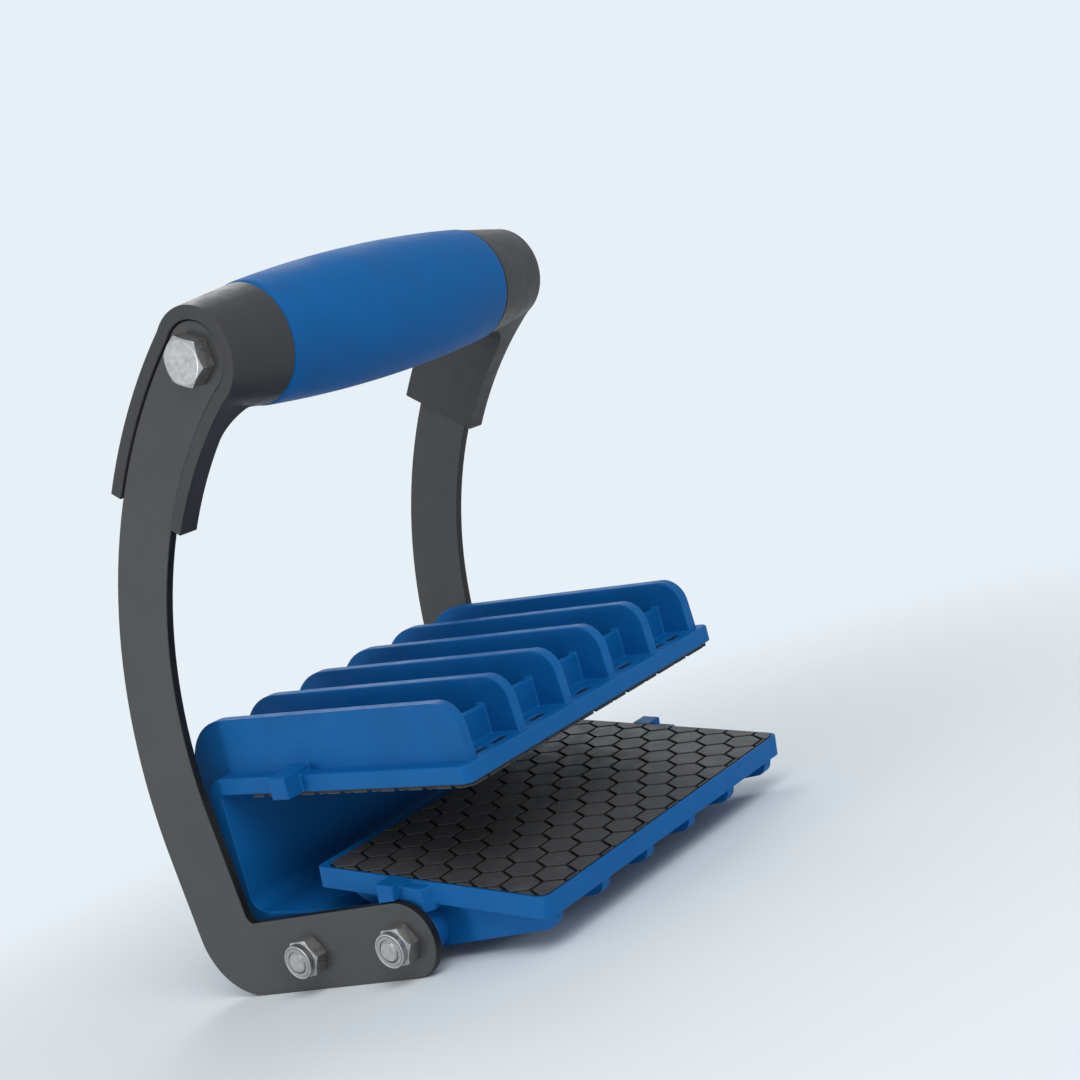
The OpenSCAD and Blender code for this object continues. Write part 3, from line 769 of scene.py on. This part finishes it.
def thread(bm, tip, major):
    """Thread from the bevelled tip of a bolt along +X, as a closed skin."""
    rings = []
    for i in range(round(THREAD_LENGTH / THREAD_ROW) + 1):
        along = i * THREAD_ROW
        widest = major - THREAD_TIP + along
        radii = [min(thread_radius(along, turn, major), widest) for turn in turns(THREAD_SIDES)]
        rings.append(ring_x(bm, tip + Vector((along, 0, 0)), radii))
    made = [bm.faces.new(rings[0]), bm.faces.new(rings[-1])]
    for near, far in zip(rings, rings[1:]):
        made += band(bm, near, far)
    bmesh.ops.recalc_face_normals(bm, faces=made)


def pivot_bolt(node, name):
    """A pivot bolt: its softened head and shank, with a thread on the end that shows."""
    tip_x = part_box(node)[0].x
    cut_x = tip_x + THREAD_LENGTH
    bm = welded(node)
    bmesh.ops.bisect_plane(
        bm, geom=whole(bm), plane_co=(cut_x, 0, 0), plane_no=(-1, 0, 0), clear_outer=True
    )
    bmesh.ops.contextual_create(bm, geom=[e for e in bm.edges if e.is_boundary])
    shank = [v.co.copy() for v in bm.verts if abs(v.co.x - cut_x) < WELD]
    axis = sum(shank, Vector()) / len(shank)
    major = max((spot - axis).length for spot in shank)
    mesh = rounded(bm, name, HARDWARE_ROUND)
    bm = bmesh.new()
    bm.from_mesh(mesh)
    thread(bm, Vector((tip_x, axis.y, axis.z)), major)
    written(bm, mesh).set_sharp_from_angle(angle=SHADE_TURN)
    return flat_sided(dressed(mesh, name, node, "frame", "zinc_steel"))


def jaw_frame(node, body):
    """Axes of a jaw: its pivot as the origin, X along the pivot and Z square to the pad."""
    faces = NODES[node].data.polygons
    normal = max(faces, key=lambda face: face.area).normal
    normal = normal if normal.z > 0 else -normal
    tilt = Matrix.Rotation(math.atan2(-normal.y, normal.z), 4, "X")
    return Matrix.Translation(PIVOTS[body]) @ tilt


def level_outlines(node, axes):
    """Outlines of a CAD node's faces that lie level in the given axes, from the largest to the smallest."""
    bm = welded(node)
    into_axes = axes.inverted()
    outlines = [[into_axes @ v.co for v in face.verts] for face in bm.faces]
    bm.free()

    def height(outline):
        return max(p.z for p in outline) - min(p.z for p in outline)

    def area(outline):
        return abs(sum(p.cross(q).z for p, q in zip(outline, outline[1:] + outline[:1])))

    return sorted((o for o in outlines if height(o) < WELD), key=area, reverse=True)


def main_levels(outlines):
    """The two largest levels of a pad: the heights of its gripping face and its back, the largest first."""
    first = outlines[0][0].z
    return first, next(o[0].z for o in outlines if abs(o[0].z - first) > WELD)


def peg_ends(outlines):
    """Outlines of a pad's pegs: the ones that lie in neither of its two largest levels."""
    levels = main_levels(outlines)
    return [o for o in outlines if min(abs(o[0].z - level) for level in levels) > WELD]


def jaw_seams(body):
    """Seams of a jaw: across its middle, through its pivot and, on the upper jaw, along its row of pegs."""
    node = body.replace("jaw", "pad")
    axes = jaw_frame(node, body)
    along, across = (axes.to_3x3() @ Vector(v) for v in ((1, 0, 0), (0, 1, 0)))
    seams = [(PIVOTS[body], along), (PIVOTS[body], across)]
    pegs = peg_ends(level_outlines(node, axes))
    if pegs:
        seams.append((axes @ (sum(pegs[0], Vector()) / len(pegs[0])), across))
    return seams


def rounded_rectangle(low, high, corner):
    """Outline of a rectangle in plan whose corners are quarter circles, counter-clockwise."""
    left, right = low.x + corner, high.x - corner
    front, rear = low.y + corner, high.y - corner
    points = []
    for quarter, (x, y) in enumerate([(right, rear), (left, rear), (left, front), (right, front)]):
        for i in range(PAD_CORNER_STEPS + 1):
            turn = math.pi / 2 * (quarter + i / PAD_CORNER_STEPS)
            points.append(Vector((x + corner * math.cos(turn), y + corner * math.sin(turn))))
    return points


def tile(x, y):
    """One six-sided tile with its points along X, half a groove inside its cell."""
    half_row = TILE_ROW / 2 - GROOVE_W / 2
    slope = math.atan2(TILE_ROW / 2, TILE_COLUMN - TILE_FLAT)
    point = (TILE_FLAT / 2 + TILE_COLUMN - TILE_FLAT) - GROOVE_W / 2 / math.sin(slope)
    flat = point - half_row / math.tan(slope)
    upper = [(point, 0), (flat, half_row), (-flat, half_row)]
    lower = [(-dx, -dy) for dx, dy in upper]
    return [Vector((x + dx, y + dy)) for dx, dy in upper + lower]


def tiles(low, high):
    """Tiles that cover a rectangle and a little more all round, in columns that step by half a row."""
    found = []
    first, last = (math.floor((x - TILE_X) / TILE_COLUMN) for x in (low.x, high.x))
    for i in range(first - 1, last + 2):
        x = TILE_X + i * TILE_COLUMN
        shift = TILE_Y + (0 if i % 2 else TILE_ROW / 2)
        start = math.floor((low.y - shift) / TILE_ROW) - 1
        for j in range(start, math.ceil((high.y - shift) / TILE_ROW) + 1):
            found.append(tile(x, shift + (j + 0.5) * TILE_ROW))
    return found


def tiled_plan(low, high):
    """Plan of a pad: its points, and its faces as corners and level, parted along the tiles' outlines."""
    loops = [rounded_rectangle(low, high, PAD_CORNER)] + tiles(low, high)
    points = [p for loop in loops for p in loop]
    starts = [sum(len(loop) for loop in loops[:i]) for i in range(len(loops))]
    input_faces = [list(range(start, start + len(loop))) for start, loop in zip(starts, loops)]
    flat, _, faces, _, _, sources = delaunay_2d_cdt(points, [], input_faces, WHOLE_FACES, PLAN_REACH)
    inside = [(face, source) for face, source in zip(faces, sources) if 0 in source]
    return flat, [(face, "tile" if len(source) > 1 else "groove") for face, source in inside]


def stepped_slab(points, plan, levels, axes):
    """Slab over a plan, with its tiles raised from the floor of its grooves, as a working copy."""
    bm = bmesh.new()
    made = {}

    def vertex(index, level):
        if (index, level) not in made:
            place = Vector((points[index].x, points[index].y, levels[level]))
            made[index, level] = bm.verts.new(axes @ place)
        return made[index, level]

    def wall(a, b, top, bottom):
        bm.faces.new([vertex(b, top), vertex(a, top), vertex(a, bottom), vertex(b, bottom)])

    sides = {}
    for face, level in plan:
        bm.faces.new([vertex(i, level) for i in face])
        bm.faces.new([vertex(i, "back") for i in reversed(face)])
        for a, b in zip(face, face[1:] + face[:1]):
            sides.setdefault(frozenset((a, b)), []).append((a, b, level))
    for uses in sides.values():
        at_rim = len(uses) == 1
        if not at_rim and len({level for _, _, level in uses}) == 1:
            continue
        a, b, level = next(use for use in uses if use[2] == "tile" or at_rim)
        if level == "tile":
            wall(a, b, "tile", "groove")
        if at_rim:
            wall(a, b, "groove", "back")
    return bm


def peg(bm, axes, end, root_z):
    """One peg, from the corners of its end down to its root in the pad."""
    tops = [bm.verts.new(axes @ corner) for corner in end]
    roots = [bm.verts.new(axes @ Vector((corner.x, corner.y, root_z))) for corner in end]
    bm.faces.new(tops)
    bm.faces.new(roots[::-1])
    for i in range(len(end)):
        k = (i + 1) % len(end)
        bm.faces.new((tops[k], tops[i], roots[i], roots[k]))


def pad(node, name, body, up):
    """A rubber pad with pegs on its back, whose gripping face is cut into tiles by real grooves.

    up is 1 where the gripping face looks up and -1 where it looks down.
    """
    axes = jaw_frame(node, body)
    outlines = level_outlines(node, axes)
    face_z, back_z = sorted(main_levels(outlines), reverse=up > 0)
    levels = {"tile": face_z, "groove": face_z - up * GROOVE_DEPTH, "back": back_z}
    low, high = (Vector(edge(p[i] for p in outlines[0]) for i in range(3)) for edge in (min, max))
    points, plan = tiled_plan(low, high)
    bm = stepped_slab(points, plan, levels, axes)
    bmesh.ops.dissolve_limit(bm, angle_limit=FLAT_TURN, verts=bm.verts, edges=bm.edges)
    for end in peg_ends(outlines):
        peg(bm, axes, end, back_z + up * PEG_ROOT)
    bmesh.ops.recalc_face_normals(bm, faces=bm.faces)
    normal = axes.to_3x3() @ Vector((0, 0, up))
    rubber = pad_rubber(f"{node}_rubber", PAD_BLACK, axes @ Vector((0, 0, levels["groove"])), normal)
    coated(node, rubber)
    piece = flat_sided(dressed(rounded(bm, name, TILE_ROUND), name, node, body, "pad_rubber", rubber))
    return piece


def camera():
    """Camera that sees the carrier as the photo does."""
    data = bpy.data.cameras.new("camera")
    data.lens = CAMERA_LENS
    data.sensor_width = CAMERA_SENSOR
    data.clip_start = CAMERA_NEAR
    data.clip_end = CAMERA_FAR
    eye = bpy.data.objects.new("camera", data)
    bpy.context.scene.collection.objects.link(eye)
    turn = Matrix((CAMERA_RIGHT, CAMERA_UP, CAMERA_BACK)).transposed()
    eye.matrix_world = Matrix.Translation(CAMERA_AT) @ turn.to_4x4()
    bpy.context.scene.camera = eye


def floor():
    """Pale disc under the carrier that fades out into the backdrop."""
    bm = bmesh.new()
    bmesh.ops.create_circle(bm, cap_ends=True, segments=FLOOR_SIDES, radius=FLOOR_RADIUS)
    disc = bpy.data.objects.new("floor", mesh_from(bm, "floor"))
    bpy.context.scene.collection.objects.link(disc)
    look = Shader("floor")
    length = look.add("ShaderNodeVectorMath", {0: look.place}, operation="LENGTH").outputs["Value"]
    fade = look.mapped(length, 0.0, 1.0, from_low=FLOOR_FADE_FROM, from_high=FLOOR_FADE_TO)
    cloud = look.noise(FLOOR_CLOUD_SIZE, detail=3.0)
    tone = look.mottled(linear(BACKDROP), cloud, darkest=1.09, palest=1.10)
    look.finish(Base_Color=tone, Roughness=0.9, Specular_IOR_Level=0.1)
    clear = look.add("ShaderNodeBsdfTransparent").outputs["BSDF"]
    blend = look.blended(fade, look.surface.outputs["BSDF"], clear)
    look.plug(blend, look.tree.nodes["Material Output"].inputs["Surface"])
    disc.data.materials.append(look.material)


def soft_light():
    """Light from all round, with the backdrop's colour where the camera or a reflection sees it."""
    world = bpy.data.worlds.new("studio")
    bpy.context.scene.world = world
    nodes = Nodes(world)
    rays = nodes.add("ShaderNodeLightPath").outputs
    seen = nodes.computed("MAXIMUM", rays["Is Camera Ray"], rays["Is Glossy Ray"])
    seen = nodes.computed("MAXIMUM", seen, rays["Is Transmission Ray"])
    glow = nodes.tree.nodes["Background"]
    nodes.plug(WHITE, glow.inputs["Color"])
    nodes.plug(AMBIENT, glow.inputs["Strength"])
    backdrop = nodes.add("ShaderNodeBackground", {"Color": linear(BACKDROP), "Strength": BACKDROP_GLOW})
    blend = nodes.blended(seen, glow.outputs["Background"], backdrop.outputs["Background"])
    nodes.plug(blend, nodes.tree.nodes["World Output"].inputs["Surface"])


def lamps():
    """Round lamps that all look at the carrier."""
    for name, (place, size, power) in LAMPS.items():
        data = bpy.data.lights.new(name, "AREA")
        data.shape = "DISK"
        data.size = size
        data.energy = power
        lamp = bpy.data.objects.new(name, data)
        bpy.context.scene.collection.objects.link(lamp)
        lamp.location = place
        lamp.rotation_mode = "QUATERNION"
        lamp.rotation_quaternion = (Vector(LAMP_AIM) - Vector(place)).to_track_quat("-Z", "Y")


bpy.context.scene.view_settings.view_transform = "Standard"

for side in ("left", "right"):
    softened(f"{side}_arm", f"{side}_arm_bar", "frame", "arm_paint", ARM_ROUND, [AT_HANDLE, AT_PIVOTS])
    softened(
        f"{side}_handle_socket", f"{side}_socket_moulding", "frame", "socket_plastic", SOCKET_ROUND,
        [AT_HANDLE],
    )
    softened(f"{side}_handle_bolt", f"{side}_handle_hex_bolt", "frame", "zinc_steel", HARDWARE_ROUND)
    for node in (f"{side}_core_plug", f"rear_{side}_spacer", f"front_{side}_spacer"):
        coated(node, MATERIALS["zinc_steel"])
for end in ("rear", "front"):
    pivot_bolt(f"{end}_pivot_bolt", f"{end}_threaded_bolt")
    softened(f"{end}_lock_nut", f"{end}_hex_nut", "frame", "zinc_steel", HARDWARE_ROUND, [AT_PIVOTS])
    coated(f"{end}_nut_ring", MATERIALS["nylon"])
coated("handle_core_tube", MATERIALS["zinc_steel"])
grip()
for jaw in ("upper_jaw", "lower_jaw"):
    softened(jaw, f"{jaw}_moulding", jaw, "jaw_plastic", JAW_ROUND, jaw_seams(jaw))
pad("upper_pad", "upper_tiled_pad", "upper_jaw", -1)
pad("lower_pad", "lower_tiled_pad", "lower_jaw", 1)

camera()
floor()
soft_light()
lamps()

bpy.context.view_layer.update()
